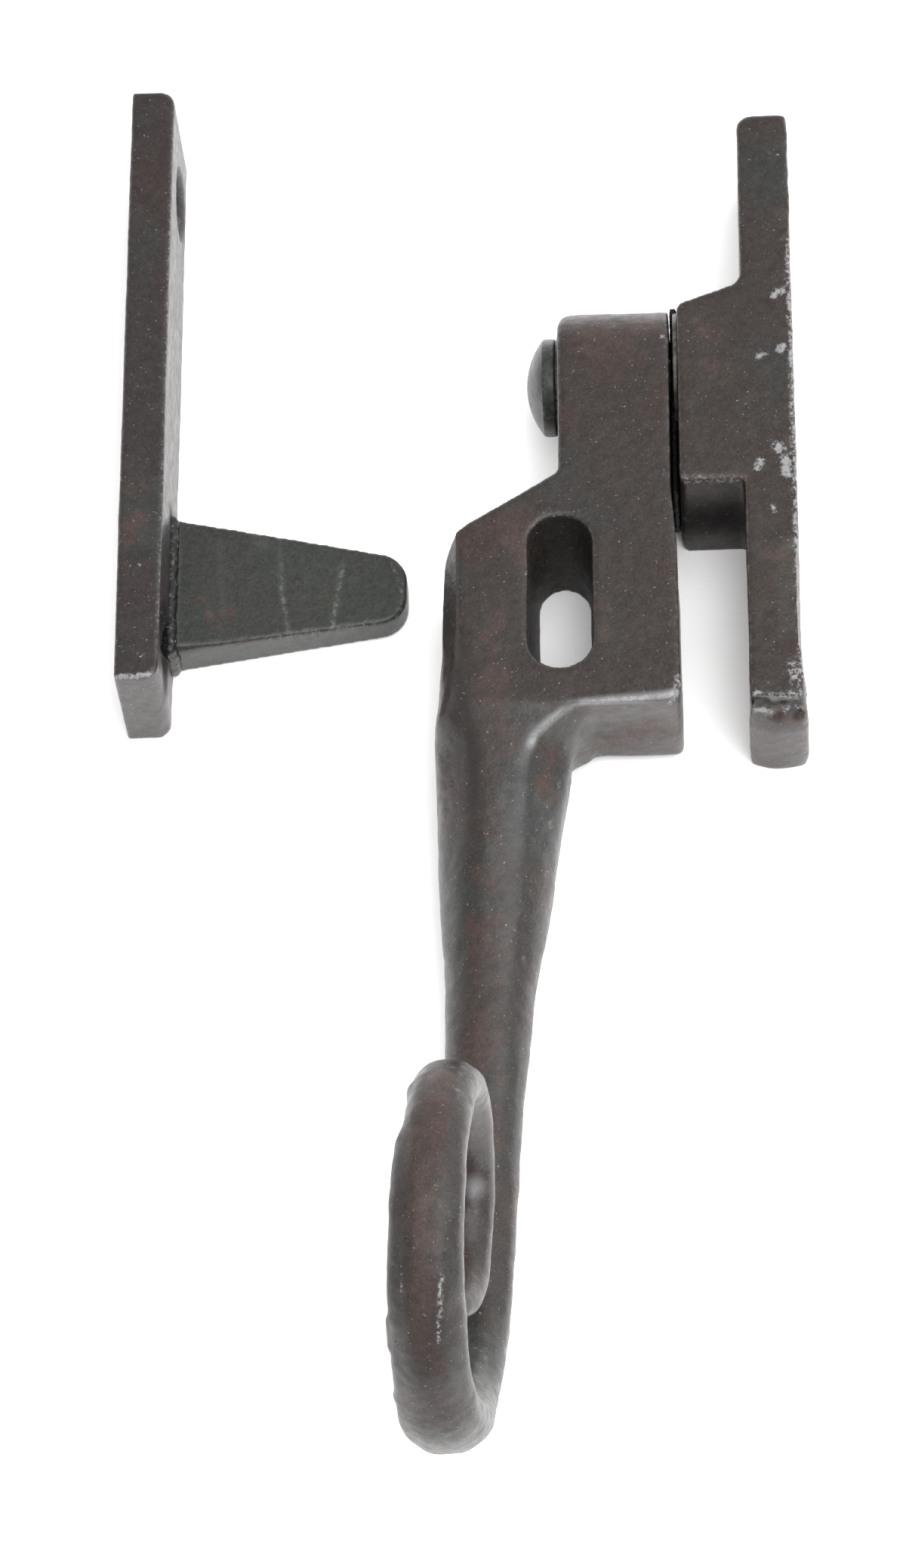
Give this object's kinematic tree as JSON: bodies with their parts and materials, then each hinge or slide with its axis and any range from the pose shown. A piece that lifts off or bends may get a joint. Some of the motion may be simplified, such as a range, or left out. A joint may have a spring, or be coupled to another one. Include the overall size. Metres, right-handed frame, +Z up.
{
  "type": "casement fastener",
  "caption": "Casement fastener: scrolled lever with a tapered slot, pivoted on a fixing plate, and a loose strike with a tongue.",
  "frame": {"origin": "centre of the bounding box in X and Y, on the surface that the two pieces lie on", "axes": "+X along the pivot pin, from the strike toward the back of the fixing plate; +Y along the plates, from the scroll toward the pivot end; +Z up from the surface, along the plates' width"},
  "size_m": [0.0782, 0.1754, 0.0482],
  "materials": {
    "waxed_iron": "forged iron, dark waxed, brown-grey with worn edges",
    "rubbed_iron": "forged iron rubbed to a greener grey",
    "washer_steel": "dull steel sheet"
  },
  "bodies": {
    "fixing": {"fixing_plate": "waxed_iron", "pivot_pin": "rubbed_iron", "head_washer": "washer_steel", "spring_washer": "washer_steel"},
    "lever": {"lever": "waxed_iron"},
    "strike": {"strike_plate": "waxed_iron", "strike_tongue": "rubbed_iron"}
  },
  "joints": [
    {"name": "lever_pivot", "type": "hinge", "parent": "fixing", "child": "lever", "pos_m": [0.01815, 0.04889, 0.0085], "axis": [-1, 0, 0], "range_deg": [0, 150]},
    {"name": "strike_shift", "type": "slide", "parent": "fixing", "child": "strike", "axis": [-1, 0, 0], "range_m": [0, 0.02]}
  ]
}
